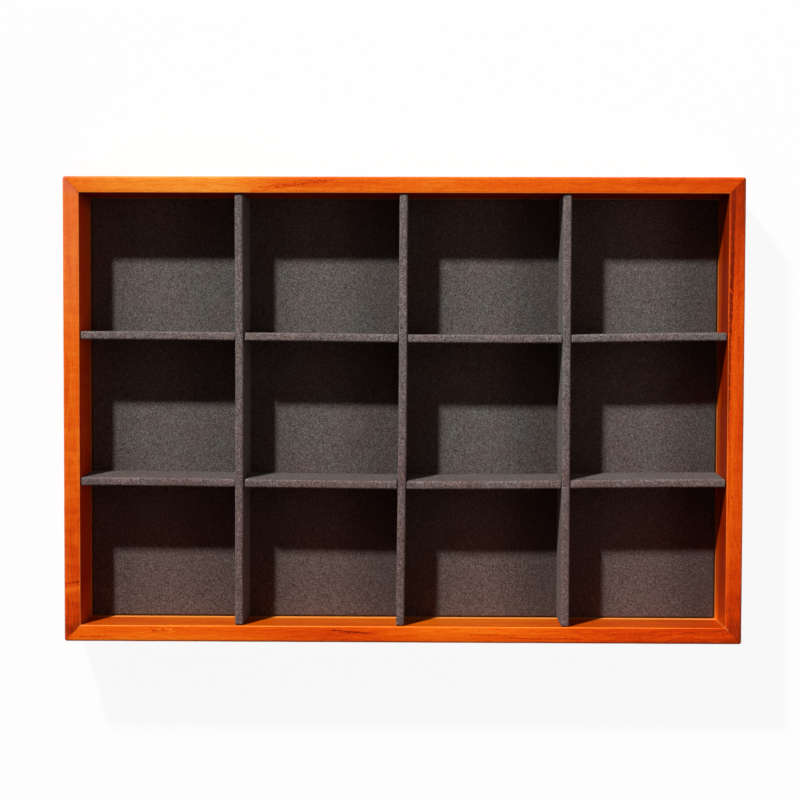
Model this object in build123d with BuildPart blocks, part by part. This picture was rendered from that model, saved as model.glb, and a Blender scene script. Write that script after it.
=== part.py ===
from build123d import *
import os

# Display tray: a mitred wooden frame round a thin bottom panel, a fabric-covered liner that
# lies on the panel, and a lift-out grid of fabric-covered dividers halved into one another.
# Millimetres. X runs left to right, Y front to rear, Z up. The origin is on the table,
# under the middle of the tray.

# Wooden frame
tray_length = 350.0  # outside, left to right
tray_width = 240.0  # outside, front to rear
tray_height = 35.0  # table to rim
rail_thickness = 8.5
corner_radius = 1.2  # upright edge at each outside corner
rim_outer_radius = 1.2
rim_inner_radius = 0.6
foot_radius = 0.8

# Bottom panel, let into a groove round the inside of the frame
panel_thickness = 2.5
panel_recess = 2.5  # table to the underside of the panel
panel_tongue = 4.0  # how far the panel reaches into each rail
groove_play = 0.15  # free height above the panel
groove_end_play = 0.5  # free depth beyond the panel's edge

# Brads that pin each mitre, driven in from the two ends of the tray
brad_length = 18.0
brad_radius = 0.6
brad_head_radius = 0.95
brad_head_thickness = 0.8
brad_set = 0.5  # how far the head is punched below the wood
brad_play = 0.05
brad_above_groove = 6.0
brad_below_rim = 10.0

# Covering fabric and the liner
fabric_thickness = 0.6
soft_edge_radius = 1.0  # outside of the fabric where it turns over an edge
liner_board_thickness = 1.5
liner_flap = 14.0  # fabric turned in under the liner board
liner_gap = 0.5  # between the covered liner and each rail
flap_corner_slit = 0.4  # between two flaps where they meet at a corner

# Divider grid
columns = 4
rows = 3
board_thickness = 3.0
rim_drop = 1.0  # top of the dividers below the rim
seat_gap = 0.15  # nap of the liner under the dividers
end_gap = 0.3  # between each end of a divider and its rail
long_slot_play = 0.9  # each side of a cross divider, in a long divider's slot
cross_slot_play = 0.35  # each side of a long divider, in a cross divider's slot
slot_depth_play = 0.4  # between the two slot bottoms of a crossing

# Sizes that follow from those
inner_length = tray_length - 2 * rail_thickness
inner_width = tray_width - 2 * rail_thickness
panel_top = panel_recess + panel_thickness
groove_top = panel_top + groove_play
brad_heights = [groove_top + brad_above_groove, tray_height - brad_below_rim]
liner_length = inner_length - 2 * liner_gap
liner_width = inner_width - 2 * liner_gap
liner_thickness = liner_board_thickness + 2 * fabric_thickness
liner_top = panel_top + liner_thickness
divider_thickness = board_thickness + 2 * fabric_thickness
divider_bottom = liner_top + seat_gap
divider_top = tray_height - rim_drop
divider_height = divider_top - divider_bottom
long_slot_width = divider_thickness + 2 * long_slot_play
cross_slot_width = divider_thickness + 2 * cross_slot_play
half_height = divider_height / 2
slot_depth = half_height + slot_depth_play / 2
cell_length = (inner_length - (columns - 1) * divider_thickness) / columns
cell_width = (inner_width - (rows - 1) * divider_thickness) / rows
long_span = inner_width - 2 * end_gap
cross_span = inner_length - 2 * end_gap
long_places = [
    -inner_length / 2 + (i + 1) * cell_length + (i + 0.5) * divider_thickness
    for i in range(columns - 1)
]
cross_places = [
    -inner_width / 2 + (i + 1) * cell_width + (i + 0.5) * divider_thickness
    for i in range(rows - 1)
]
smallest_round = 0.05
widest_round = 0.48  # of the thickness that is rounded from both faces
cover_round = min(soft_edge_radius, widest_round * divider_thickness)
board_round = max(cover_round - fabric_thickness, smallest_round)
liner_edge_round = max(soft_edge_radius - fabric_thickness, smallest_round)

os.makedirs("parts", exist_ok=True)


def save(part, name):
    part.label = name
    export_step(part, f"parts/{name}.step")


def fillet_ring(wire, radius):
    fillet(wire.edges(), radius=radius)


def names_across(count, first, last):
    middles = ["middle"] if count == 3 else [f"middle_{i}" for i in range(1, count - 1)]
    return ([first] + middles + [last])[:count]


# The places of the brads: each is a plane on an end of the tray that faces outwards
brad_row = (tray_width - rail_thickness) / 2
brad_planes = [
    Plane(origin=(side * tray_length / 2, row * brad_row, height), z_dir=(side, 0, 0))
    for side in (-1, 1)
    for row in (-1, 1)
    for height in brad_heights
]

# The frame as one ring, with its rounded edges, panel groove and brad holes
with BuildPart() as frame_ring:
    with BuildSketch():
        Rectangle(tray_length, tray_width)
        Rectangle(inner_length, inner_width, mode=Mode.SUBTRACT)
    extrude(amount=tray_height)
    outside_corners = frame_ring.edges().filter_by(Axis.Z).sort_by_distance((0, 0, tray_height / 2))[-4:]
    fillet(outside_corners, radius=corner_radius)
    fillet_ring(frame_ring.faces().sort_by(Axis.Z)[-1].outer_wire(), rim_outer_radius)
    fillet_ring(frame_ring.faces().sort_by(Axis.Z)[-1].inner_wires()[0], rim_inner_radius)
    fillet_ring(frame_ring.faces().sort_by(Axis.Z)[0].outer_wire(), foot_radius)
    groove_reach = 2 * (panel_tongue + groove_end_play)
    with BuildSketch(Plane.XY.offset(panel_recess)):
        Rectangle(inner_length + groove_reach, inner_width + groove_reach)
    extrude(amount=groove_top - panel_recess, mode=Mode.SUBTRACT)
    for plane in brad_planes:
        with BuildSketch(plane):
            Circle(brad_head_radius + brad_play)
        extrude(amount=-(brad_set + brad_head_thickness), mode=Mode.SUBTRACT)
        with BuildSketch(plane):
            Circle(brad_radius + brad_play)
        extrude(amount=-(brad_set + brad_length + brad_play), mode=Mode.SUBTRACT)


def mitre_plane(side, row):
    corner = (side * tray_length / 2, row * tray_width / 2, 0)
    return Plane(origin=corner, z_dir=(side, -row, 0))


# Each rail is the ring between two mitres
rails = {
    "left_rail": [(-1, -1), (-1, 1), Keep.TOP],
    "right_rail": [(1, -1), (1, 1), Keep.TOP],
    "front_rail": [(-1, -1), (1, -1), Keep.BOTTOM],
    "rear_rail": [(-1, 1), (1, 1), Keep.BOTTOM],
}
for name, (first_corner, second_corner, kept_side) in rails.items():
    with BuildPart() as rail:
        add(frame_ring.part)
        split(bisect_by=mitre_plane(*first_corner), keep=kept_side)
        split(bisect_by=mitre_plane(*second_corner), keep=kept_side)
    save(rail.part, name)

# Bottom panel
with BuildPart() as bottom_panel:
    with BuildSketch(Plane.XY.offset(panel_recess)):
        Rectangle(inner_length + 2 * panel_tongue, inner_width + 2 * panel_tongue)
    extrude(amount=panel_thickness)
save(bottom_panel.part, "bottom_panel")

# Brads, two through each mitre
with BuildPart() as corner_brads:
    for plane in brad_planes:
        with BuildSketch(plane.offset(-brad_set)):
            Circle(brad_head_radius)
        extrude(amount=-brad_head_thickness)
        with BuildSketch(plane.offset(-brad_set)):
            Circle(brad_radius)
        extrude(amount=-brad_length)
save(corner_brads.part, "corner_brads")

# Liner board
with BuildPart() as liner_board:
    with BuildSketch(Plane.XY.offset(panel_top + fabric_thickness)):
        Rectangle(liner_length - 2 * fabric_thickness, liner_width - 2 * fabric_thickness)
    extrude(amount=liner_board_thickness)
    fillet(liner_board.edges().filter_by(Axis.Z), radius=liner_edge_round)
    fillet_ring(liner_board.faces().sort_by(Axis.Z)[-1].outer_wire(), liner_edge_round)
save(liner_board.part, "liner_board")

# Liner cover: fabric over the top and edges of the board, turned in under it as four flaps
with BuildPart() as liner_cover:
    with BuildSketch(Plane.XY.offset(panel_top)):
        Rectangle(liner_length, liner_width)
    extrude(amount=liner_thickness)
    fillet(liner_cover.edges().filter_by(Axis.Z), radius=liner_edge_round + fabric_thickness)
    fillet_ring(liner_cover.faces().sort_by(Axis.Z)[-1].outer_wire(), liner_edge_round + fabric_thickness)
    add(liner_board.part, mode=Mode.SUBTRACT)
    window_length = liner_length - 2 * liner_flap
    window_width = liner_width - 2 * liner_flap
    slit_length = 2**0.5 * (liner_flap - 2 * fabric_thickness)
    with BuildSketch(Plane.XY.offset(panel_top)):
        Rectangle(window_length, window_width)
        for side in (-1, 1):
            for row in (-1, 1):
                with Locations((side * window_length / 2, row * window_width / 2)):
                    Rectangle(2 * slit_length, flap_corner_slit, rotation=45 * side * row)
    extrude(amount=fabric_thickness, mode=Mode.SUBTRACT)
save(liner_cover.part, "liner_cover")


# A divider stands on a plane at the middle of its foot, with X along it and Y through it.
# Its slots are listed as distances along it, and open upwards or downwards.
def divider_blank(foot, size, edge_radius, slots=(), slot_size=(0, 0), slots_open_up=False):
    span, thickness, height = size
    side_view = Plane(origin=foot.origin, x_dir=foot.x_dir, z_dir=-foot.y_dir)
    mouth_height = height if slots_open_up else 0
    slot_align = (Align.CENTER, Align.MAX if slots_open_up else Align.MIN)
    with BuildPart() as blank:
        with BuildSketch(side_view):
            Rectangle(span, height, align=(Align.CENTER, Align.MIN))
            with Locations([(place, mouth_height) for place in slots]):
                Rectangle(*slot_size, align=slot_align, mode=Mode.SUBTRACT)
        extrude(amount=thickness / 2, both=True)
        uprights = blank.edges().filter_by(Axis.Z)
        if not slots_open_up:
            by_place = uprights.group_by(Axis(foot.origin, foot.x_dir))
            uprights = by_place[0] + by_place[-1]
        fillet(uprights + blank.edges().group_by(Axis.Z)[-1], radius=edge_radius)
    return blank.part


# A long divider is slotted from below after it is covered, so its slots show raw board
def long_divider(foot, slots):
    board_size = (long_span - 2 * fabric_thickness, board_thickness, divider_height - fabric_thickness)
    cover_size = (long_span, divider_thickness, divider_height)
    with BuildPart() as cover:
        add(divider_blank(foot, cover_size, cover_round, slots, (long_slot_width, slot_depth)))
        add(divider_blank(foot, board_size, board_round), mode=Mode.SUBTRACT)
    board = divider_blank(foot, board_size, board_round, slots, (long_slot_width, slot_depth))
    return board, cover.part


# A cross divider is slotted from above before it is covered, and fabric lines its slots
def cross_divider(foot, slots):
    board_size = (cross_span - 2 * fabric_thickness, board_thickness, divider_height - fabric_thickness)
    cover_size = (cross_span, divider_thickness, divider_height)
    board_slot = (cross_slot_width + 2 * fabric_thickness, slot_depth)
    cover_slot = (cross_slot_width, slot_depth)
    board = divider_blank(foot, board_size, board_round, slots, board_slot, slots_open_up=True)
    with BuildPart() as cover:
        add(divider_blank(foot, cover_size, cover_round, slots, cover_slot, slots_open_up=True))
        add(board, mode=Mode.SUBTRACT)
    return board, cover.part


# The long dividers run front to rear, and hang over the cross dividers
for name, place in zip(names_across(columns - 1, "left", "right"), long_places, strict=True):
    foot = Plane(origin=(place, 0, divider_bottom), x_dir=(0, 1, 0), z_dir=(0, 0, 1))
    board, cover = long_divider(foot, cross_places)
    save(board, f"{name}_divider_board")
    save(cover, f"{name}_divider_cover")

# The cross dividers run left to right under them
for name, place in zip(names_across(rows - 1, "front", "rear"), cross_places, strict=True):
    foot = Plane(origin=(0, place, divider_bottom), x_dir=(1, 0, 0), z_dir=(0, 0, 1))
    board, cover = cross_divider(foot, long_places)
    save(board, f"{name}_cross_board")
    save(cover, f"{name}_cross_cover")
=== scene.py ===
import math
from types import SimpleNamespace

import bmesh
import bpy
from mathutils import Matrix, Vector, noise


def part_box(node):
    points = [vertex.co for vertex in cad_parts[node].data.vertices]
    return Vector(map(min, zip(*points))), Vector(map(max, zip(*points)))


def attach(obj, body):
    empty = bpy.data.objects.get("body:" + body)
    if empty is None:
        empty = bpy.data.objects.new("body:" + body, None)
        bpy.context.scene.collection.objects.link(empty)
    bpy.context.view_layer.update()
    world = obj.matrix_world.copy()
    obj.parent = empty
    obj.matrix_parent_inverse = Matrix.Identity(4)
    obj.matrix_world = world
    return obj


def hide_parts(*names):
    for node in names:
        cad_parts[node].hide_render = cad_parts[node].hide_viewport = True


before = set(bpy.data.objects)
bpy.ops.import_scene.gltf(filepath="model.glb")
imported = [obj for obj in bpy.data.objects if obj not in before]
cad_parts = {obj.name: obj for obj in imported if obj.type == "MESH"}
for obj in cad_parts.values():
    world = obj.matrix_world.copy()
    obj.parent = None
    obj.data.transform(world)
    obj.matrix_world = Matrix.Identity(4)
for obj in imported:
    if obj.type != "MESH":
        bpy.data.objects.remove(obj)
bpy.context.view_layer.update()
mm = 0.001


# Small helpers

def tone(red, green, blue):
    # a colour as read from a screen, 0 to 255, turned into linear light
    parts = [v / 255 for v in (red, green, blue)]
    return tuple(v / 12.92 if v <= 0.04045 else ((v + 0.055) / 1.055) ** 2.4 for v in parts) + (1.0,)


def addObject(name, data):
    made = bpy.data.objects.new(name, data)
    bpy.context.scene.collection.objects.link(made)
    return made


def newPiece(name, mesh, material, body, replaced):
    piece = addObject(name, mesh)
    mesh.materials.clear()
    mesh.materials.append(material)
    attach(piece, body)
    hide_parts(*replaced)
    return piece


def meshFrom(name, points, faces):
    mesh = bpy.data.meshes.new(name)
    mesh.from_pydata([tuple(p) for p in points], [], faces)
    mesh.validate()
    return mesh


def weld(mesh, distance=0.002 * mm):
    work = bmesh.new()
    work.from_mesh(mesh)
    bmesh.ops.remove_doubles(work, verts=work.verts, dist=distance)
    bmesh.ops.dissolve_degenerate(work, edges=work.edges, dist=distance)
    work.to_mesh(mesh)
    work.free()


def turnOutwards(mesh):
    work = bmesh.new()
    work.from_mesh(mesh)
    bmesh.ops.recalc_face_normals(work, faces=work.faces)
    work.to_mesh(mesh)
    work.free()


def applyModifiers(name, mesh, addModifiers):
    # puts modifiers on a throwaway object and returns the plain mesh that they make
    holder = addObject(name, mesh)
    addModifiers(holder)
    bpy.context.view_layer.update()
    evaluated = holder.evaluated_get(bpy.context.evaluated_depsgraph_get())
    result = bpy.data.meshes.new_from_object(evaluated)
    bpy.data.objects.remove(holder)
    result.name = name
    return result


def smoothShade(mesh, sharpAngle):
    mesh.shade_smooth()
    mesh.set_sharp_from_angle(angle=math.radians(sharpAngle))


def roundOver(distance, radius):
    # how far a rounded edge drops at a distance in from its outline
    if distance >= radius:
        return 0.0
    return radius - math.sqrt(max(radius ** 2 - (radius - distance) ** 2, 0.0))


def softenCorner(a, b, radius):
    # a and b are distances in from the two sides of a square corner; returns them on a round one, and the
    # distance in from its arc
    x, y = 1 - a / radius, 1 - b / radius
    a, b = radius * (1 - x * math.sqrt(1 - y * y / 2)), radius * (1 - y * math.sqrt(1 - x * x / 2))
    return a, b, radius * (1 - math.hypot(1 - a / radius, 1 - b / radius))


def edgeLines(start, end, radius, step, fineStart=True, fineEnd=True):
    # grid lines across a stretch, close together where an edge rounds over
    fine = [radius * (1 - math.cos(math.radians(angle))) for angle in (0, 20, 38, 55, 72, 90)]
    lines = [start + f for f in fine] if fineStart else [start]
    tail = [end - f for f in reversed(fine)] if fineEnd else [end]
    low, high = lines[-1], tail[0]
    count = max(1, round((high - low) / step))
    lines += [low + (high - low) * i / count for i in range(1, count)]
    return lines + tail


# Shader helpers

class Value:
    # the output of a node, which can be added and multiplied like a number

    def __init__(self, socket):
        self.socket = socket
        self.tree = socket.id_data

    def __add__(self, other):
        return calc("ADD", self, other)

    def __sub__(self, other):
        return calc("SUBTRACT", self, other)

    def __rsub__(self, other):
        return calc("SUBTRACT", other, self)

    def __mul__(self, other):
        return calc("MULTIPLY", self, other)

    def __truediv__(self, other):
        return calc("DIVIDE", self, other)

    __radd__ = __add__
    __rmul__ = __mul__


def plug(value, socket):
    if isinstance(value, Value):
        value.tree.links.new(value.socket, socket)
    else:
        socket.default_value = value


def addNode(tree, kind, inputs=None, **settings):
    # kind is a shader node's name without its first part, or the whole name of another node
    made = tree.nodes.new(kind if "Node" in kind else "ShaderNode" + kind)
    for key, value in settings.items():
        setattr(made, key, value)
    for key, value in (inputs or {}).items():
        plug(value, made.inputs[key])
    return made


def nodeValue(tree, kind, inputs=None, output=0, **settings):
    return Value(addNode(tree, kind, inputs, **settings).outputs[output])


def treeOf(values):
    return next(v.tree for v in values if isinstance(v, Value))


def calc(operation, *values):
    return nodeValue(treeOf(values), "Math", dict(enumerate(values)), operation=operation)


def vectorCalc(operation, first, second):
    # second is a vector too, or the factor of a scale
    place = "Scale" if operation == "SCALE" else 1
    return nodeValue(first.tree, "VectorMath", {0: first, place: second}, operation=operation)


def fade(value, low, high, start=0.0, end=1.0):
    # a smooth step from start to end while value goes from low to high
    inputs = {"Value": value, "From Min": low, "From Max": high, "To Min": start, "To Max": end}
    return nodeValue(value.tree, "MapRange", inputs, "Result", interpolation_type="SMOOTHSTEP")


def mixColour(factor, first, second, blend="MIX"):
    inputs = {0: factor, 6: first, 7: second}  # the mix node's own numbers for its colours
    return nodeValue(treeOf(inputs.values()), "Mix", inputs, 2, data_type="RGBA", blend_type=blend)


def stretched(axes, scales, shift=0.0):
    # puts separate coordinates back together, each with its own scale
    parts = [calc("MULTIPLY_ADD", axis, scale, shift) for axis, scale in zip(axes, scales)]
    return nodeValue(axes[0].tree, "CombineXYZ", dict(zip("XYZ", parts)))


def noiseOf(vector, scale=1.0, detail=2.0, roughness=0.5, distortion=0.0):
    return nodeValue(vector.tree, "TexNoise", {"Vector": vector, "Scale": scale, "Detail": detail,
                                               "Roughness": roughness, "Distortion": distortion})


def rampOf(value, stops, interpolation="LINEAR"):
    # each stop has a place from 0 to 1 and a number or a colour
    made = addNode(value.tree, "ValToRGB", {"Fac": value})
    ramp = made.color_ramp
    ramp.interpolation = interpolation
    while len(ramp.elements) > 1:
        ramp.elements.remove(ramp.elements[-1])
    for index, (place, level) in enumerate(stops):
        element = ramp.elements[0] if index == 0 else ramp.elements.new(place)
        colour = level if isinstance(level, tuple) else (level, level, level)
        element.position, element.color = place, (*colour[:3], 1.0)
    return Value(made.outputs[0])


def newMaterial(name):
    # an empty material, its shader, and places on the object in mm, whole and as X, Y and Z
    material = bpy.data.materials.new(name)
    material.use_nodes = True
    tree = material.node_tree
    tree.nodes.clear()
    shader = addNode(tree, "BsdfPrincipled")
    output = addNode(tree, "OutputMaterial")
    tree.links.new(shader.outputs[0], output.inputs["Surface"])
    inMm = vectorCalc("MULTIPLY", nodeValue(tree, "TexCoord", output="Object"), (1 / mm, 1 / mm, 1 / mm))
    split = addNode(tree, "SeparateXYZ", {0: inMm})
    return material, shader, inMm, [Value(axis) for axis in split.outputs]


def finish(shader, colour, roughness, height, bump, **fixed):
    # bump is in mm
    plug(colour, shader.inputs["Base Color"])
    plug(roughness, shader.inputs["Roughness"])
    relief = {"Strength": 1.0, "Distance": bump * mm, "Height": height}
    plug(nodeValue(shader.id_data, "Bump", relief), shader.inputs["Normal"])
    for key, value in fixed.items():
        shader.inputs[key].default_value = value


# Sizes read from the frame

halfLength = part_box("right_rail")[1].x
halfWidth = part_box("rear_rail")[1].y
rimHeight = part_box("rear_rail")[1].z
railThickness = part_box("right_rail")[1].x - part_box("right_rail")[0].x
panelLow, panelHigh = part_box("bottom_panel")
linerLow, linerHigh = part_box("liner_cover")
print("frame read: tray of %.0f by %.0f by %.0f mm" % (2000 * halfLength, 2000 * halfWidth, 1000 * rimHeight))


# Stained and varnished wood. Redness runs from straw (0) to oxblood (1) along each rail.

stainTones = [
    (0.0, tone(255, 178, 92)),  # straw, where stain is rubbed off an edge
    (0.25, tone(241, 144, 40)),  # amber
    (0.5, tone(229, 99, 12)),  # orange
    (0.75, tone(204, 60, 4)),  # russet
    (1.0, tone(112, 26, 4)),  # oxblood, in streaks and seams
]

# stretch along, across and up a rail, shift of its seed, then the noise's detail, roughness and distortion
woodPatterns = {
    "cloud": ((0.012, 0.22, 0.10), 0, 3.0, 0.55, 0.4),
    "wander": ((0.02, 0.05, 0.05), 4, 2.0),
    "fibre": ((0.11, 2.6, 2.6), 9, 3.0, 0.62, 0.25),
    "pores": ((0.28, 6.5, 6.5), 15, 1.0),
    "flame": ((0.15, 0.05, 0.05), 21, 3.0, 0.6, 0.9),
    "grit": ((1.1, 1.9, 1.9), 26, 2.0, 0.6),
    "broken": ((0.45, 1.3, 1.3), 28, 3.0, 0.65),
    "waver": ((0.06, 0.3, 0.0), 30, 2.0),
    "curl": ((0.30, 0.75, 0.75), 33, 1.0, 0.5, 3.5),
    "scratch": ((0.35, 1.2, 1.2), 40, 3.0, 0.65),
    "inside": ((0.03, 0.2, 0.2), 44, 2.0),
}

woodGrain = {  # redness that each pattern adds, and the growth rings
    "cloud": 0.42,
    "fibre": 0.38,
    "grit": 0.34,
    "pores": 0.10,
    "rings": 0.055,
    "ringsPerMm": 2.4,
    "ringsTilt": (0.9, 0.55),  # across and up
    "ringsWander": 26.0,  # mm
    "ringsSharpness": 3.0,
}

woodFinish = {
    "roughness": 0.34,
    "dryFibre": 0.16,  # more roughness along the fibres
    "specular": 0.06,
    "coat": 0.02,
    "coatRoughness": 0.25,
    "grainDepth": 0.035,  # mm
    "wornTone": tone(253, 160, 68),
    "paleTone": tone(246, 156, 72),  # wood that took little stain at the mitres' ends; also the pale line just above the liner
    "seamTone": tone(150, 42, 8),
    # painted shade for the inner corners
    "cornerShadeTone": tone(24, 4, 0),
    "cornerShadeReach": 9.0,  # mm of painted shade on the wall beside an inner corner
    "rimWear": 1.3,  # mm over which an outer edge is rubbed
    "innerWear": 0.7,
    "rimWorn": 0.3,  # how much of the stain is gone there at most
    "footWorn": 0.5,
    "insideTurn": (13.0, 21.0),  # mm, between the low and the high painted shading of the inner faces
    "insideWander": 14.0,  # mm that the turn goes up and down
    "paleLineWander": 1.4,
    "streakWander": 1.4,
}

# places are mm: along runs with +X or +Y from the tray's middle, inset is in from the outer face; a pair is a
# strength for the left or front end and one for the right or rear end
plainLook = {  # what a rail has unless its own look says otherwise
    "streaks": [],  # start, end, inset, slope, half breadth, redness
    "curls": [],  # place, inset, half length, half breadth, redness
    "marks": [],
    "bands": [],  # across the rail: place, half breadth, slope, redness
    "tints": [],  # place, reach, colour, strength
    "insideRedness": 0.6,
    # painted light and shade along the inner wall
    "insideDrift": [(-175, (1.0, 1.0, 1.0)), (175, (1.0, 1.0, 1.0))],
    "darkEnds": (0.0, 0.0),
    "darkCorners": (0.0, 0.0),
    "paleEnds": (0.0, 0.0),
    # multiplies a rail's top and outer faces: partly stain, partly painted light that evens the lamp's fall
    # across the tray
    "faceTone": (1.0, 1.0, 1.0),
}
railLooks = {
    "rear_rail": {
        "seed": 3.1,
        "redness": [(-175, 0.46), (-150, 0.30), (-100, 0.18), (-80, 0.28), (-56, 0.52), (-10, 0.50),
                    (30, 0.44), (60, 0.50), (85, 0.56), (120, 0.56), (175, 0.72)],
        "flame": 0.05,
        "streaks": [(-82, -30, 8.2, -0.17, 1.6, 0.16), (-70, -26, 6.4, -0.13, 0.8, 0.10)],
        "curls": [(-62, 5.0, 24, 3.4, 0.3)],
        "marks": [(-169.5, 6.4, 0.7, 0.5, 0.25)],
        # painted shading of this rail's inner wall, a low and a high tone
        "insideLow": (0.34, 0.06, 0.06),
        "insideHigh": (0.42, 0.05, 0.06),
        "darkEnds": (0.24, 0.15),
        "darkCorners": (0.5, 0.4),
        "arris": [(-175, 0.85), (-60, 0.8), (10, 0.55), (175, 0.6)],
        "rawLine": (1.7, 0.55),  # height above the liner and strength
    },
    "front_rail": {
        "seed": 11.7,
        "redness": [(-175, 0.52), (-150, 0.46), (-110, 0.50), (-70, 0.60), (-35, 0.70), (-5, 0.56),
                    (20, 0.46), (45, 0.47), (75, 0.56), (115, 0.72), (175, 0.88)],
        "flame": 0.04,
        "streaks": [(-38, -8, 6.6, -0.07, 0.40, 0.36), (-34, -14, 5.4, -0.04, 0.35, 0.16),
                    (33, 66, 4.5, -0.02, 0.35, 0.26), (52, 96, 2.6, -0.005, 0.35, 0.24),
                    (86, 150, 5.0, -0.01, 0.3, 0.10), (-168, -150, 2.2, 0.05, 0.35, 0.30)],
        "curls": [(-124, 6.0, 13, 2.2, 1.3), (-96, 6.4, 10, 1.6, 0.6)],
        "marks": [(-127.8, 5.8, 2.2, 0.4, 0.42), (-120, 6.5, 2.4, 0.35, -0.30),
                  (-116.5, 6.9, 1.8, 0.22, 0.22)],
        "insideRedness": 0.55,
        "insideLow": (0.70, 0.76, 0.40),
        "insideHigh": (0.70, 0.70, 0.34),
        "insideDrift": [(-170, (0.85, 0.65, 0.7)), (-145, (0.97, 0.9, 0.8)), (-115, (1.03, 1.15, 0.8)),
                        (-30, (1.02, 1.1, 0.85)), (60, (1.02, 1.15, 1.0)), (95, (0.93, 0.85, 1.0)),
                        (125, (0.9, 0.75, 0.8)), (145, (0.8, 0.55, 0.6)), (170, (0.8, 0.55, 0.6))],
        "darkEnds": (0.15, 0.02),
        "paleEnds": (0.25, 0.30),
        "faceTone": (1.14, 1.08, 0.75),
        "arris": [(-175, 0.55), (60, 0.5), (135, 0.4), (155, 0.1), (175, 0.0)],
        "rawLine": (3.6, 0.8),
    },
    "left_rail": {
        "seed": 23.4,
        "redness": [(-120, 0.86), (-106, 0.80), (-94, 0.60), (-82, 0.66), (-55, 0.58), (-20, 0.50),
                    (8, 0.60), (28, 0.50), (60, 0.44), (104, 0.36), (120, 0.52)],
        "flame": 0.20,
        "streaks": [(60, 112, 2.4, 0.01, 1.6, 0.12)],
        "marks": [(113.0, 6.0, 0.7, 0.4, 0.28), (115.6, 3.6, 0.6, 0.4, 0.22)],
        "bands": [(-90.2, 0.7, -0.04, 0.17), (-93.6, 1.8, -0.03, -0.18), (-102.5, 2.2, -0.02, 0.06),
                  (-113, 2.5, 0.1, 0.05)],
        "tints": [(117, 8.0, tone(206, 100, 84), 0.5), (95, 70, tone(224, 124, 66), 0.35)],
        "insideRedness": 0.5,
        "insideLow": (1.02, 0.70, 0.30),
        "insideHigh": (1.05, 0.47, 0.25),
        "insideDrift": [(-111, (0.9, 1.4, 1.0)), (-100, (0.7, 0.85, 0.6)), (-90, (0.6, 0.55, 0.5)),
                        (-65, (0.72, 0.6, 0.6)), (-40, (0.8, 0.65, 0.8)), (-15, (0.95, 0.9, 0.9)),
                        (90, (1.04, 0.95, 0.8))],
        "darkEnds": (0.15, 0.24),
        "darkCorners": (0.12, 0.6),
        "paleEnds": (0.35, 0.0),
        "faceTone": (1.04, 1.03, 1.2),
        "arris": [(-120, 0.4), (120, 0.35)],
        "rawLine": (1.7, 0.5),
    },
    "right_rail": {
        "seed": 37.9,
        "redness": [(-120, 0.84), (-100, 0.80), (-60, 0.61), (-20, 0.59), (10, 0.64), (40, 0.60), (90, 0.72),
                    (120, 0.86)],
        "flame": 0.08,
        "streaks": [(-24, 130, 9.0, -0.021, 1.05, 0.62), (60, 127, 7.0, -0.014, 0.7, 0.34),
                    (-60, 100, 7.3, 0.0, 0.3, 0.12), (20, 112, 3.4, 0.0, 1.2, 0.10)],
        "marks": [(-44, 5.6, 0.9, 0.55, 0.5)],
        "tints": [(122, 70, tone(140, 40, 8), 0.45)],
        "insideLow": (0.68, 0.58, 0.08),
        "insideHigh": (0.40, 0.20, 0.0),
        "insideDrift": [(-111, (1.9, 3.2, 1.0)), (-103, (1.45, 1.9, 0.8)), (-90, (1.05, 1.1, 0.8)),
                        (-60, (0.85, 0.7, 0.8)), (-20, (0.9, 0.9, 0.7)), (120, (1.0, 1.0, 0.8))],
        "darkEnds": (0.02, 0.10),
        "darkCorners": (0.0, 0.4),
        "paleEnds": (0.55, 0.0),
        "faceTone": (1.04, 1.0, 1.0),
        "arris": [(-120, 0.05), (-70, 0.15), (-30, 0.3), (10, 0.3), (40, 0.12), (120, 0.08)],
        "rawLine": (1.7, 0.45),
    },
}


def railPlace(axes, seed, sideways):
    # where a point is on its rail, in mm, with the wood's patterns there
    x, y, z = axes
    along, across = (y, x) if sideways else (x, y)
    halves = (halfWidth, halfLength) if sideways else (halfLength, halfWidth)
    halfAlong, halfAcross = (half / mm for half in halves)
    thick = railThickness / mm
    inset = halfAcross - calc("ABSOLUTE", across)
    pattern = {key: noiseOf(stretched((along, across, z), stretch, seed + shift), 1.0, *settings)
               for key, (stretch, shift, *settings) in woodPatterns.items()}
    return SimpleNamespace(along=along, across=across, z=z, inset=inset, drop=rimHeight / mm - z, thick=thick,
                           toEnd=halfAlong - calc("ABSOLUTE", along), halfAlong=halfAlong, pattern=pattern,
                           onInner=fade(inset, thick - 0.35, thick - 0.1))


def alongRail(at, stops, interpolation="LINEAR"):
    # a number or a colour that changes along a rail
    share = calc("MULTIPLY_ADD", at.along, 0.5 / at.halfAlong, 0.5)
    return rampOf(share, [((place / at.halfAlong + 1) / 2, level) for place, level in stops], interpolation)


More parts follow.
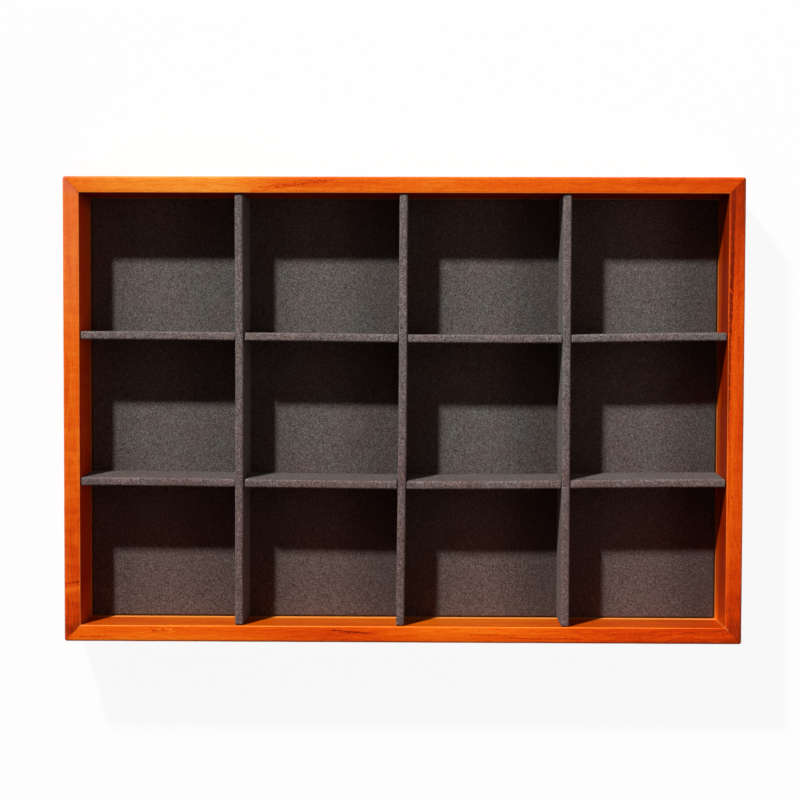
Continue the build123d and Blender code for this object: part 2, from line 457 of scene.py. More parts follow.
def woodFigure(look, at):
    # mineral streaks, curls, knots and bands across the rail, each at its own place
    waver = calc("MULTIPLY_ADD", at.pattern["waver"] - 0.5, woodFinish["streakWander"], at.inset)
    ragged = fade(at.pattern["broken"], 0.36, 0.6, 0.35, 1.15) * fade(at.pattern["grit"], 0.38, 0.6, 0.5, 1.3)
    figure = 0.0
    for start, end, startInset, slope, halfBreadth, strength in look["streaks"]:
        off = calc("ABSOLUTE", waver - calc("MULTIPLY_ADD", at.along - start, slope, startInset))
        soft = 0.12 * (end - start)
        mask = fade(at.along, start, start + soft) * fade(at.along, end - 3 * soft, end, 1.0, 0.0)
        mask = fade(off, 0.25 * halfBreadth, 1.3 * halfBreadth, 1.0, 0.0) * mask * ragged
        figure = mask * strength + figure
    curly = at.pattern["curl"] - 0.5
    spots = [(spot, 1.0) for spot in look["marks"]] + [(spot, curly) for spot in look["curls"]]
    for (place, placeInset, halfLong, halfBroad, strength), grain in spots:
        a = (at.along - place) / halfLong
        b = (waver - placeInset) / halfBroad
        mask = fade(calc("SQRT", a * a + b * b), 0.2, 1.0, 1.0, 0.0) * grain
        figure = mask * strength + figure
    for place, halfBreadth, slope, strength in look["bands"]:
        off = calc("ABSOLUTE", calc("MULTIPLY_ADD", waver, slope * 4, at.along) - place)
        mask = fade(off, 0.2 * halfBreadth, 1.3 * halfBreadth, 1.0, 0.0)
        mask = mask * fade(at.drop, 2.0, 16.0, 1.0, 0.3)  # fainter down the outer face
        figure = mask * strength + figure
    return figure


def stainedWood(look, at):
    # the drift, growth rings, fibres and any flame figure; the drift along each rail is partly stain and
    # partly a painted highlight, yellower near the lamp
    drift = alongRail(at, look["redness"], "B_SPLINE")
    drift = (look["insideRedness"] - drift) * at.onInner + drift
    tiltAcross, tiltUp = woodGrain["ringsTilt"]
    ringAt = at.pattern["wander"] * woodGrain["ringsWander"] + (at.across * tiltAcross + at.z * tiltUp)
    rings = calc("SINE", ringAt * woodGrain["ringsPerMm"]) * 0.5 + 0.5
    redness = calc("POWER", rings, woodGrain["ringsSharpness"]) * woodGrain["rings"] + drift
    redness = fade(at.pattern["pores"], 0.62, 0.74) * woodGrain["pores"] + redness
    amounts = [(key, woodGrain[key]) for key in ("cloud", "fibre", "grit")] + [("flame", 2 * look["flame"])]
    for key, amount in amounts:
        redness = (at.pattern[key] - 0.5) * amount + redness
    redness = woodFigure(look, at) * (1.0 - at.onInner) + redness
    colour = rampOf(redness, stainTones)
    for place, reach, tint, strength in look["tints"]:
        off = calc("ABSOLUTE", at.along - place)
        colour = mixColour(fade(off, 0.2 * reach, reach, strength, 0.0), colour, tint)
    return colour


def rubEdges(colour, look, at):
    scratch = at.pattern["scratch"]
    patchy, steady = fade(scratch, 0.38, 0.62), fade(scratch, 0.3, 0.5, 0.6, 1.0)
    rim, inner = woodFinish["rimWear"], woodFinish["innerWear"]
    edges = [(at.inset + at.drop, rim, patchy * woodFinish["rimWorn"]),
             (at.thick - at.inset + at.drop, inner, alongRail(at, look["arris"], "B_SPLINE") * steady),
             (at.inset + at.z, rim, patchy * woodFinish["footWorn"])]
    for away, reach, most in edges:
        colour = mixColour(fade(away, 0.3 * reach, reach, 1.0, 0.0) * most, colour, woodFinish["wornTone"])
    return colour


def toneInside(colour, look, at):
    # painted light and shade on the inner faces, low and high and along each rail, and a pale line just above
    # the liner
    turnAt = calc("MULTIPLY_ADD", at.pattern["inside"] - 0.5, woodFinish["insideWander"], at.z)
    low, high, face = ((*look[key], 1.0) for key in ("insideLow", "insideHigh", "faceTone"))
    # painted light and shade on the inner walls: a low and a high tone for each rail
    inside = mixColour(fade(turnAt, *woodFinish["insideTurn"]), low, high)
    # painted light and shade along each inner wall, darker or brighter towards its ends
    inside = mixColour(1.0, inside, alongRail(at, look["insideDrift"]), "MULTIPLY")
    shade = mixColour(at.onInner * fade(at.drop, 0.0, 0.5), face, inside)
    paleHeight, paleStrength = look["rawLine"]
    lineTop = linerHigh.z / mm + paleHeight
    lineAt = calc("MULTIPLY_ADD", at.pattern["scratch"] - 0.5, woodFinish["paleLineWander"], at.z)
    # a pale line just above the liner
    raw = at.onInner * fade(lineAt, lineTop - 0.5, lineTop + 0.25, paleStrength, 0.0)
    return mixColour(raw, mixColour(1.0, colour, shade, "MULTIPLY"), woodFinish["paleTone"])


def markEnds(colour, look, at):
    # painted shade beside the inner corners, and mitre seams that are dark with a pale end by the inner arris
    plus = fade(at.along, -1.0, 1.0)
    toSeam = at.toEnd - at.inset
    # painted shade on the walls beside the inner corners, most at the rear
    corner = fade(at.toEnd - at.thick, 0.0, woodFinish["cornerShadeReach"], 1.0, 0.0) * at.onInner
    seam = fade(toSeam, 0.15, 0.75, 1.0, 0.0)
    tip = fade(toSeam, 0.25, 0.7, 1.0, 0.0) * fade(at.inset, at.thick - 2.2, at.thick - 0.8)
    for key, mask, tint in (("darkCorners", corner, "cornerShadeTone"), ("darkEnds", seam, "seamTone"),
                            ("paleEnds", tip, "paleTone")):
        first, second = look[key]
        colour = mixColour(mask * (plus * (second - first) + first), colour, woodFinish[tint])
    return colour


def woodMaterial(name, look, sideways):
    material, shader, inMm, axes = newMaterial(name)
    at = railPlace(axes, look["seed"], sideways)
    colour = stainedWood(look, at)
    for change in (rubEdges, toneInside, markEnds):
        colour = change(colour, look, at)
    fibre, pores = at.pattern["fibre"], at.pattern["pores"]
    roughness = fibre * woodFinish["dryFibre"] + woodFinish["roughness"]
    finish(shader, colour, roughness, fibre * 0.6 + pores * 0.4, woodFinish["grainDepth"],
           **{"Specular IOR Level": woodFinish["specular"], "Coat Weight": woodFinish["coat"],
              "Coat Roughness": woodFinish["coatRoughness"]})
    return material


# Frame rails: one closed section swept between two mitres, with a fine groove at each seam

railShape = {
    "rimOuterRadius": 1.2 * mm,
    "rimInnerRadius": 0.45 * mm,
    "footRadius": 0.8 * mm,
    "cornerRadius": 1.2 * mm,
    "grooveDepth": 4.5 * mm,  # for the bottom panel
    "groovePlay": 0.15 * mm,
    "seamGroove": 0.06 * mm,
    "seamGap": 0.012 * mm,
    "seamShares": (0.08, 0.2, 0.36, 0.6, 1.0),  # of the way from the seam to where the steps are even
    "step": 3.0 * mm,
    "sanding": 0.05 * mm,  # how far hand sanding strays on the edges
    "sandingWaves": (60, 500, 300),  # along, across and up
    "sandingEase": 14 * mm,  # beside a seam
}


def railSection():
    shape = railShape
    section = []

    def arc(centreInset, centreHeight, radius, startAngle, count=5):
        for i in range(count + 1):
            angle = math.radians(startAngle - 90 * i / count)
            section.append((centreInset + radius * math.cos(angle), centreHeight + radius * math.sin(angle)))

    def run(start, end, count):
        for i in range(1, count):
            section.append(tuple(s + (e - s) * i / count for s, e in zip(start, end)))

    foot, outer, inner = shape["footRadius"], shape["rimOuterRadius"], shape["rimInnerRadius"]
    floor, ceiling = panelLow.z, panelHigh.z + shape["groovePlay"]
    back = railThickness - shape["grooveDepth"]
    arc(foot, foot, foot, 270)
    run((0, foot), (0, rimHeight - outer), 8)
    arc(outer, rimHeight - outer, outer, 180)
    run((outer, rimHeight), (railThickness - inner, rimHeight), 4)
    arc(railThickness - inner, rimHeight - inner, inner, 90, 4)
    run((railThickness, rimHeight - inner), (railThickness, ceiling), 8)
    section += [(railThickness, ceiling), (back, ceiling), (back, floor)]
    section += [(railThickness, floor), (railThickness, 0)]
    return section


def inwardNormals(section):
    normals = []
    for i in range(len(section)):
        before, after = section[i - 1], section[(i + 1) % len(section)]
        du, dh = after[0] - before[0], after[1] - before[1]
        size = math.hypot(du, dh)
        normals.append((dh / size, -du / size))
    return normals


def stationsAlong(inset, length):
    corner, groove = railShape["cornerRadius"], railShape["seamGroove"]
    reach = corner - inset
    start = corner - reach / math.sqrt(2) if reach > 0 else inset
    settled = max(corner, railThickness) + 0.6 * mm
    head = [start + railShape["seamGap"], start + groove]
    head += [head[1] + (settled - head[1]) * share for share in railShape["seamShares"]]
    count = round((length - 2 * settled) / railShape["step"])
    middle = [settled + (length - 2 * settled) * i / count for i in range(1, count)]
    return head + middle + [length - t for t in reversed(head)]


def insetAt(along, inset, length):
    # follows the tray's rounded corners near the ends
    corner = railShape["cornerRadius"]
    near = min(along, length - along)
    reach = corner - inset
    if reach <= 0 or near >= corner:
        return inset
    return corner - math.sqrt(max(reach ** 2 - (corner - near) ** 2, 0))


railPlaces = {  # length, then along and inset turned into a place on the tray, going clockwise
    "rear_rail": (2 * halfLength, lambda t, u: (-halfLength + t, halfWidth - u)),
    "right_rail": (2 * halfWidth, lambda t, u: (halfLength - u, halfWidth - t)),
    "front_rail": (2 * halfLength, lambda t, u: (halfLength - t, -halfWidth + u)),
    "left_rail": (2 * halfWidth, lambda t, u: (-halfLength + u, -halfWidth + t)),
}


def railMesh(name, length, place, seed):
    section = railSection()
    groove = railShape["seamGroove"]
    waveAlong, waveAcross, waveUp = railShape["sandingWaves"]
    columns = []
    for (inset, height), (normalInset, normalHeight) in zip(section, inwardNormals(section)):
        column = []
        stops = stationsAlong(inset, length)
        for index, along in enumerate(stops):
            u, h = insetAt(along, inset, length), height
            if index in (0, len(stops) - 1):
                u, h = u + groove * normalInset, h + groove * normalHeight
            spot = Vector((along * waveAlong, inset * waveAcross, height * waveUp + seed))
            stray = railShape["sanding"] * noise.noise(spot)
            ease = min(1.0, min(along, length - along) / railShape["sandingEase"])
            u = u + stray * ease * normalInset
            if height > 1 * mm:  # the foot stays flat
                h = h + stray * ease * normalHeight
            column.append((*place(along, u), h))
        columns.append(column)
    around, stations = len(section), len(columns[0])
    points = [columns[k][s] for s in range(stations) for k in range(around)]
    faces = []
    for s in range(stations - 1):
        for k in range(around):
            n = (k + 1) % around
            faces.append((s * around + k, s * around + n, (s + 1) * around + n, (s + 1) * around + k))
    faces.append(tuple(reversed(range(around))))
    faces.append(tuple((stations - 1) * around + k for k in range(around)))
    mesh = meshFrom(name, points, faces)
    turnOutwards(mesh)
    return mesh


# Brads: two through each mitre, driven in from the ends of the tray

bradSize = {
    "shankRadius": 0.6 * mm,
    "shankLength": 18 * mm,
    "shankSides": 20,
    "headRadius": 0.95 * mm,
    "headThickness": 0.8 * mm,
    "headDepth": 0.5 * mm,  # below the wood's face
    "headSides": 28,
    "play": 0.05 * mm,
    "aboveGroove": 6.0 * mm,
    "belowRim": 10.0 * mm,
}


def bradPlaces():
    lowest = panelHigh.z + railShape["groovePlay"] + bradSize["aboveGroove"]
    heights = (lowest, rimHeight - bradSize["belowRim"])
    row = halfWidth - railThickness / 2
    return [(side * halfLength, front * row, z) for side in (-1, 1) for front in (-1, 1) for z in heights]


def drillBrads(mesh, name, side):
    # cuts the stepped holes into one rail; side is -1, 1 or 0 for a rail that both ends reach
    steps = [(bradSize["headRadius"], bradSize["headThickness"], bradSize["headSides"]),
             (bradSize["shankRadius"], bradSize["shankLength"], bradSize["shankSides"])]
    lying = Matrix.Rotation(math.pi / 2, 4, "Y")
    extra = 1 * mm
    cutter = bmesh.new()
    for x, y, z in bradPlaces():
        outward = 1 if x > 0 else -1
        if side and outward != side:
            continue
        for radius, size, sides in steps:
            depth = bradSize["headDepth"] + size
            hole = radius + bradSize["play"]
            middle = Matrix.Translation((x + outward * (extra - depth) / 2, y, z))
            bmesh.ops.create_cone(cutter, cap_ends=True, segments=sides, radius1=hole, radius2=hole,
                                  depth=depth + extra, matrix=middle @ lying)
    cutterMesh = bpy.data.meshes.new("bradHoles")
    cutter.to_mesh(cutterMesh)
    cutter.free()
    drill = addObject("bradHoles", cutterMesh)

    def addBoolean(holder):
        cut = holder.modifiers.new("holes", "BOOLEAN")
        cut.object, cut.operation, cut.solver, cut.use_self = drill, "DIFFERENCE", "EXACT", True

    result = applyModifiers(name, mesh, addBoolean)
    bpy.data.objects.remove(drill)
    return result


for railName, (length, place) in railPlaces.items():
    look = {**plainLook, **railLooks[railName]}
    end = {"left_rail": -1, "right_rail": 1}.get(railName, 0)
    mesh = railMesh(railName + "Wood", length, place, look["seed"])
    mesh = drillBrads(mesh, railName + "Wood", end)
    smoothShade(mesh, 40)
    wood = woodMaterial(railName + "Stain", look, sideways=end != 0)
    newPiece(railName + "Wood", mesh, wood, "tray", [railName])
print("rails swept, mitred and drilled")


def steelMaterial():
    material, shader, inMm, axes = newMaterial("bradSteel")
    spots = noiseOf(inMm, 2.2, 3.0)
    colour = rampOf(spots, [(0.35, tone(150, 148, 144)), (0.7, tone(104, 92, 78))])
    finish(shader, colour, spots * 0.3 + 0.25, spots, 0.02, Metallic=1.0)
    return material


bradInputs = {
    "Shank Radius": "shankRadius",
    "Shank Length": "shankLength",
    "Head Radius": "headRadius",
    "Head Thickness": "headThickness",
    "Head Depth": "headDepth",
}


def bradTree(material):
    # each point of the input mesh gets a brad that is driven straight in from it, along X
    tree = bpy.data.node_groups.new("bradRow", "GeometryNodeTree")
    tree.interface.new_socket("Geometry", in_out="INPUT", socket_type="NodeSocketGeometry")
    for label in bradInputs:
        tree.interface.new_socket(label, in_out="INPUT", socket_type="NodeSocketFloat")
    tree.interface.new_socket("Geometry", in_out="OUTPUT", socket_type="NodeSocketGeometry")
    start, end = addNode(tree, "NodeGroupInput"), addNode(tree, "NodeGroupOutput")
    points = Value(start.outputs["Geometry"])
    shank, length, head, thick, deep = (Value(start.outputs[label]) for label in bradInputs)

    def rod(radiusTop, radiusBottom, depth, sides, topLevel):
        cone = nodeValue(tree, "GeometryNodeMeshCone", {"Vertices": sides, "Radius Top": radiusTop,
                                                        "Radius Bottom": radiusBottom, "Depth": depth})
        offset = nodeValue(tree, "CombineXYZ", {"Z": (topLevel + depth) * -1.0})
        return nodeValue(tree, "GeometryNodeTransform", {"Geometry": cone, "Translation": offset})

    headSides, shankSides = bradSize["headSides"], bradSize["shankSides"]
    crown = thick * 0.3
    tip = shank * 2.5
    straight = length - thick - tip
    underHead = deep + thick
    joined = addNode(tree, "GeometryNodeJoinGeometry")
    for part in (
        rod(head * 0.62, head, crown, headSides, deep),
        rod(head, shank * 1.2, thick - crown, headSides, deep + crown),
        rod(shank, shank, straight, shankSides, underHead),
        rod(shank, shank * 0.1, tip, shankSides, underHead + straight),
    ):
        plug(part, joined.inputs[0])
    spot = addNode(tree, "SeparateXYZ", {0: nodeValue(tree, "GeometryNodeInputPosition")})
    outward = nodeValue(tree, "CombineXYZ", {"X": calc("SIGN", Value(spot.outputs["X"]))})
    aim = nodeValue(tree, "FunctionNodeAlignRotationToVector", {"Vector": outward}, axis="Z")
    brads = nodeValue(tree, "GeometryNodeInstanceOnPoints",
                      {"Points": points, "Instance": Value(joined.outputs[0]), "Rotation": aim})
    solid = nodeValue(tree, "GeometryNodeRealizeInstances", {0: brads})
    plug(nodeValue(tree, "GeometryNodeSetMaterial", {0: solid, "Material": material}), end.inputs[0])
    return tree


bradSteel = steelMaterial()
bradRow = bradTree(bradSteel)


def addBrads(holder):
    grow = holder.modifiers.new("brads", "NODES")
    grow.node_group = bradRow
    for item in bradRow.interface.items_tree:
        if item.name in bradInputs:
            grow[item.identifier] = bradSize[bradInputs[item.name]]


bradMesh = applyModifiers("bradSet", meshFrom("bradPoints", bradPlaces(), []), addBrads)
weld(bradMesh, 0.001 * mm)
smoothShade(bradMesh, 30)
newPiece("bradSet", bradMesh, bradSteel, "tray", ["corner_brads"])
print("brads driven through the mitres")


# Felt: heathered grey, warm and greenish patches, short loose pile

feltTones = {
    "warm": tone(87, 78, 75),
    "cool": tone(83, 79, 76),
    "bounceTint": tone(82, 68, 65),  # painted warm bounce light from the orange wood, towards the front of the tray
    "bounceReach": (-90.0, 20.0),  # mm from the tray's middle, where it's full and where it ends
    "bounceWander": 120.0,
    "rubbed": (1.73, 1.60, 1.66),  # times its own tone along the dividers' rounded top edges: partly wear, partly a painted highlight
    "wornAndLitDepth": (1.5, 0.5),  # mm below the top, where it starts and where it's full
    "flecks": [(0.37, (0.25, 0.21, 0.20)), (0.46, (0.66, 0.62, 0.61)), (0.505, 1.0),
               (0.55, (1.33, 1.4, 1.42)), (0.63, (2.3, 2.8, 2.9))],
    "pile": 0.18,  # mm of bump
    "sheen": 0.04,
}

# scale per mm, then the noise's detail, roughness and distortion
feltPatterns = {
    "patches": (0.05, 3.0, 0.55, 0.5),
    "clumps": (0.4, 2.0, 0.6, 1.0),
    "flecks": (1.95, 2.0, 0.65, 1.3),
    "hairs": (3.4, 2.0, 0.6, 2.5),
    "wear": (0.12, 3.0, 0.6),
    "lint": (1.1, 2.0, 0.7, 1.0),
}

# painted light and shade on the liner, measured from one compartment's left or front side (0) to the next
# one's (1): palest left of the middle, dull at the right side, and more so towards the tray's right end
compartmentShadingTones = {
    "across": [(0.0, 0.74), (0.18, 0.74), (0.25, 0.84), (0.32, 0.93), (0.42, 0.98), (0.55, 0.98), (0.7, 0.95),
               (0.9, 0.9), (1.0, 0.74)],
    "dullFrom": (0.5, 0.86),
    "dullUntil": (0.93, 1.0),
    "dullReach": (-160.0, 60.0),  # mm from the tray's middle
    "dullEnds": (0.06, 0.36),
    "rowReach": (0.1, 0.95),
    "rows": (1.2, 1.32),
}


def compartmentShading(x, y):
    # compartments end at the right and rear faces of the dividers
    side, nextSide = [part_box(name)[1].x / mm for name in ("middle_divider_cover", "right_divider_cover")]
    front, nextFront = [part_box(name)[1].y / mm for name in ("front_cross_cover", "rear_cross_cover")]
    column = calc("FRACT", (x - side) / (nextSide - side))
    row = calc("FRACT", (y - front) / (nextFront - front))
    dull = fade(column, *compartmentShadingTones["dullFrom"]) * fade(column, *compartmentShadingTones["dullUntil"], 1.0, 0.0)
    dull = dull * fade(x, *compartmentShadingTones["dullReach"], *compartmentShadingTones["dullEnds"])
    pale = rampOf(column, compartmentShadingTones["across"], "B_SPLINE") * (1.0 - dull)
    return pale * fade(row, *compartmentShadingTones["rowReach"], *compartmentShadingTones["rows"])


def feltMaterial(name, seed, wornAndLitTop=None, withCompartmentShading=False):
    material, shader, inMm, (x, y, z) = newMaterial(name)
    place = vectorCalc("ADD", inMm, (seed, seed * 1.7, seed * 0.6))

    def pattern(key):
        return noiseOf(place, *feltPatterns[key])

    patches, flecks, hairs = pattern("patches"), pattern("flecks"), pattern("hairs")
    colour = mixColour(fade(patches, 0.35, 0.65), feltTones["warm"], feltTones["cool"])
    # painted warm bounce light from the wood, growing towards the front
    frontness = calc("MULTIPLY_ADD", patches - 0.5, feltTones["bounceWander"], y)
    colour = mixColour(fade(frontness, *feltTones["bounceReach"], 1.0, 0.0), colour, feltTones["bounceTint"])
    # the dividers' tops: wear and a painted highlight along the rounded edges
    if wornAndLitTop is not None:
        low, high = (wornAndLitTop - depth for depth in feltTones["wornAndLitDepth"])
        wornAndLitMask = fade(z, low, high) * fade(pattern("wear"), 0.3, 0.65, 0.55, 1.0)
        lint = fade(pattern("lint"), 0.36, 0.64, 0.62, 1.42)
        rubbed = vectorCalc("SCALE", vectorCalc("MULTIPLY", colour, feltTones["rubbed"]), lint)
        colour = mixColour(wornAndLitMask, colour, rubbed)
    if withCompartmentShading:
        # painted light and shade in each compartment of the liner
        colour = vectorCalc("SCALE", colour, compartmentShading(x, y))
    depth = pattern("clumps") * 0.06 + (flecks * 0.80 + hairs * 0.14)
    colour = mixColour(1.0, colour, rampOf(depth, feltTones["flecks"]), "MULTIPLY")
    finish(shader, colour, flecks * 0.1 + 0.86, hairs * 0.35 + flecks * 0.65, feltTones["pile"],
           **{"Specular IOR Level": 0.12, "Sheen Weight": feltTones["sheen"], "Sheen Roughness": 0.55,
              "Sheen Tint": (0.86, 0.82, 0.8, 1.0)})
    return material


# Boards inside the felt

def boardMaterial(name, pale, dark, grain):
    material, shader, inMm, axes = newMaterial(name)
    pulp = noiseOf(inMm, grain, 4.0, 0.7, 0.6)
    cloud = noiseOf(inMm, grain * 0.1, 2.0)
    colour = rampOf(pulp * 0.65 + cloud * 0.35, [(0.36, dark), (0.6, pale)])
    finish(shader, colour, 0.8, pulp, 0.06, **{"Specular IOR Level": 0.2})
    return material


# Dividers: a slotted board in a felt cover that is open along the foot. Long dividers are slotted from below
# after covering, so those slots are raw; cross dividers have lined slots that open upwards.

dividerShape = {
    "edgeRadius": 1.0 * mm,
    "endRadius": 0.6 * mm,  # seen from above
    "felt": 0.56 * mm,
    "feltRoom": 0.6 * mm,  # between the board and the outside of the felt
    "grid": 1.7 * mm,
    "boardGrid": 6.0 * mm,
    "boardRadius": 0.4 * mm,
    "longSlotPlay": 0.9 * mm,
    "crossSlotPlay": 0.35 * mm,
    "slotDepthPlay": 0.4 * mm,
    "slack": 0.07 * mm,  # how far the felt strays from flat
    "slackWaves": (70, 2.4),  # along and up
    "topWaver": 0.12 * mm,
    "topWaves": 45,
}

# how each loose divider lies, in mm: shift and bow to the right or the rear, turn from one end to the other,
# and how far the top leans past the foot; the bow is at its most at a place along the divider
dividerLie = {
    "left_divider": {"shift": 0.15, "turn": 0.0, "bow": 0.3, "bowAt": 20, "lean": -0.9},
    "middle_divider": {"shift": -0.45, "turn": 1.3, "bow": 0.4, "bowAt": 0, "lean": 0.0},
    "right_divider": {"shift": -0.15, "turn": 0.0, "bow": 0.0, "bowAt": 0, "lean": 0.0},
    "front_cross": {"shift": 1.6, "turn": 0.3, "bow": -1.5, "bowAt": 15, "lean": -1.5},
    "rear_cross": {"shift": 0.78, "turn": 0.1, "bow": -1.45, "bowAt": 54, "lean": -0.5},
}

longNames = ["left_divider", "middle_divider", "right_divider"]
crossNames = ["front_cross", "rear_cross"]
coverBoxes = {name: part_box(name + "_cover") for name in longNames + crossNames}


def lieOf(name, along, height):
    # sideways shift at a place along a divider, height going from 0 at the foot to 1 at the top
    lie = dividerLie[name]
    low, high = coverBoxes[name]
    half = max(high.x - low.x, high.y - low.y) / 2
    bowAt = lie["bowAt"] * mm
    reach = half - bowAt if along > bowAt else half + bowAt
    bend = 0.5 + 0.5 * math.cos(math.pi * min(1.0, abs(along - bowAt) / reach))
    turned, leant = lie["turn"] * along / (2 * half), lie["lean"] * (height - 0.5)
    return (lie["shift"] + turned + lie["bow"] * bend + leant) * mm


def middleOf(name, axis):
    low, high = coverBoxes[name]
    return (low[axis] + high[axis]) / 2


def crossingPlaces(name, others, axis):
    # where the other dividers cross this one, at half height
    own = middleOf(name, 1 - axis)
    return [middleOf(other, axis) + lieOf(other, own, 0.5) for other in others]


def slottedSkin(name, low, high, slotPlaces, halfSlot, ledge, opensUp, shape):
    # a grid over both faces and the edge between them, rounded over along the top and the uprights;
    # shape holds its radii and grid, whether foot and slots are closed, and a stray for every point
    axis = 0 if high.x - low.x > high.y - low.y else 1
    span, height, thick = high[axis] - low[axis], high.z - low.z, high[1 - axis] - low[1 - axis]
    middle = (low[1 - axis] + high[1 - axis]) / 2
    radius, tiny = shape["radius"], 1e-7
    squash = radius / shape["endRadius"]
    slots = [place - low[axis] for place in slotPlaces]

    sLines, cursor = [], 0.0
    for index, slot in enumerate(slots + [span + halfSlot]):
        last = index == len(slots)
        sLines += edgeLines(cursor, slot - halfSlot, shape["endRadius"], shape["grid"],
                            opensUp or cursor == 0, opensUp or last)
        if not last:
            sLines += [slot - halfSlot / 3, slot + halfSlot / 3]
        cursor = slot + halfSlot
    zLines = edgeLines(0, ledge, radius, shape["grid"], False, opensUp)[:-1]
    zLines += edgeLines(ledge, height, radius, shape["grid"], False, True)

    def inSlot(s):
        return any(abs(s - slot) < halfSlot - tiny for slot in slots)

    def present(s, z):  # asked of the middle of a grid cell
        return not (inSlot(s) and (z > ledge if opensUp else z < ledge))

    def outlinePoint(s, z):
        # a grid point on the finished outline, and half the thickness there
        uprights = [(0.0, 1), (span, -1)]
        if opensUp and z > ledge - tiny:
            uprights += [(slot + side * halfSlot, side) for slot in slots for side in (-1, 1)]
        facing = [(place, way) for place, way in uprights if (s - place) * way > -tiny]
        upright, side = min(facing, key=lambda item: abs(s - item[0]))
        top = ledge if opensUp and inSlot(s) else height
        a, b = abs(s - upright) * squash, top - z
        away = min(a, b)
        if a < radius and b < radius and top == height:
            a, b, away = softenCorner(a, b, radius)
            s, z = upright + side * a / squash, top - b
        if opensUp and not inSlot(s) and z < ledge:
            corners = [math.hypot(s - slot - e * halfSlot, ledge - z) for slot in slots for e in (-1, 1)]
            away = min([away] + corners)
        return s, z, thick / 2 - roundOver(max(away, 0.0), radius)

    points, index = [], {}
    for i, s in enumerate(sLines):
        for j, z in enumerate(zLines):
            newS, newZ, half = outlinePoint(s, z)
            for face in (1, -1):
                aside, rise = shape["stray"](low[axis] + newS, newZ / height, face)
                point = [0, 0, low.z + newZ + rise]
                point[axis] = low[axis] + newS
                point[1 - axis] = middle + face * half + aside
                index[i, j, face] = len(points)
                points.append(point)

    cells = {(i, j) for i in range(len(sLines) - 1) for j in range(len(zLines) - 1)
             if present((sLines[i] + sLines[i + 1]) / 2, (zLines[j] + zLines[j + 1]) / 2)}
    faces = []
    for i, j in sorted(cells):
        corners = [(i, j), (i + 1, j), (i + 1, j + 1), (i, j + 1)]
        faces.append([index[c + (1,)] for c in corners])
        faces.append([index[c + (-1,)] for c in reversed(corners)])
        for n, (di, dj) in enumerate(((0, -1), (1, 0), (0, 1), (-1, 0))):
            first, second = corners[n], corners[(n + 1) % 4]
            atEnd = dj == 0 and (i + (di > 0)) in (0, len(sLines) - 1)
            atTop = dj > 0 and j + 1 == len(zLines) - 1
            covered = shape["closed"] or atEnd or atTop or (opensUp and j + dj >= 0)
            if covered and (i + di, j + dj) not in cells:
                rim = (first + (1,), first + (-1,), second + (-1,), second + (1,))
                faces.append([index[c] for c in rim])
    used = sorted({v for face in faces for v in face})
    renumber = {old: new for new, old in enumerate(used)}
    mesh = meshFrom(name, [points[v] for v in used], [[renumber[v] for v in face] for face in faces])
    weld(mesh)
    return mesh


def thicken(name, mesh, felt):
    # gives a felt skin its thickness, inwards
    turnOutwards(mesh)

    def addWall(holder):
        wall = holder.modifiers.new("wall", "SOLIDIFY")
        wall.thickness, wall.offset = felt, -1.0

    result = applyModifiers(name, mesh, addWall)
    smoothShade(result, 50)
    return result


def makeDivider(name, crossings, opensUp, body, seed, fibreBoard):
    low, high = coverBoxes[name]
    room, height = dividerShape["feltRoom"], high.z - low.z
    slotDepth = (height + dividerShape["slotDepthPlay"]) / 2
    thick = min(high.x - low.x, high.y - low.y)
    halfSlot = thick / 2 + dividerShape["crossSlotPlay" if opensUp else "longSlotPlay"]
    ledge = height - slotDepth if opensUp else slotDepth

    def feltStray(along, share, face):
        waveAlong, waveUp = dividerShape["slackWaves"]
        spot = Vector((along * waveAlong, share * waveUp, seed + 7 * face))
        topSpot = Vector((along * dividerShape["topWaves"], seed, 0))
        slack = dividerShape["slack"] * noise.noise(spot)
        rise = dividerShape["topWaver"] * (noise.noise(topSpot) - 0.6) * share
        return lieOf(name, along, share) + slack, rise

    def boardStray(along, share, face):
        return lieOf(name, along, share), 0.0

    feltGrid = {"radius": dividerShape["edgeRadius"], "endRadius": dividerShape["endRadius"],
                "grid": dividerShape["grid"], "closed": False, "stray": feltStray}
    mesh = slottedSkin(name + "Felt", low, high, crossings, halfSlot, ledge, opensUp, feltGrid)
    mesh = thicken(name + "Felt", mesh, dividerShape["felt"])
    felt = feltMaterial(name + "Felt", seed * 13.0, high.z / mm)
    cover = newPiece(name + "Felt", mesh, felt, body, [name + "_cover"])

    inset = Vector((room, room, 0))
    boardGrid = {"radius": dividerShape["boardRadius"], "endRadius": dividerShape["boardRadius"],
                 "grid": dividerShape["boardGrid"], "closed": True, "stray": boardStray}
    lining = room if opensUp else 0.0
    mesh = slottedSkin(name + "Board", low + inset, high - inset - Vector((0, 0, room)), crossings,
                       halfSlot + lining, ledge - lining, opensUp, boardGrid)
    turnOutwards(mesh)
    smoothShade(mesh, 40)
    board = newPiece(name + "Board", mesh, fibreBoard, body, [name + "_board"])
    thick, height, span = sorted(high - low)


fibreBoard = boardMaterial("fibreBoard", tone(176, 142, 104), tone(128, 94, 62), 1.6)
for number, name in enumerate(longNames):
    makeDivider(name, crossingPlaces(name, crossNames, 1), False, name, 1.0 + number, fibreBoard)
for number, name in enumerate(crossNames):
    makeDivider(name, crossingPlaces(name, longNames, 0), True, "cross_dividers", 6.0 + number, fibreBoard)
print("five dividers covered in felt")


# Liner: felt over a board, turned in underneath as four mitred flaps

linerShape = {
    "edgeRadius": 1.0 * mm,
    "footRadius": 0.35 * mm,
    "felt": 0.56 * mm,
    "grid": 2.6 * mm,
    "dip": 0.1 * mm,
    "dipWaves": 35,
    "dipEase": 10 * mm,  # beside the edge
    "flap": 14 * mm,
    "flapShares": (0.12, 0.3, 0.5, 0.75, 1.0),
    "flapSlit": 0.4 * mm,
}


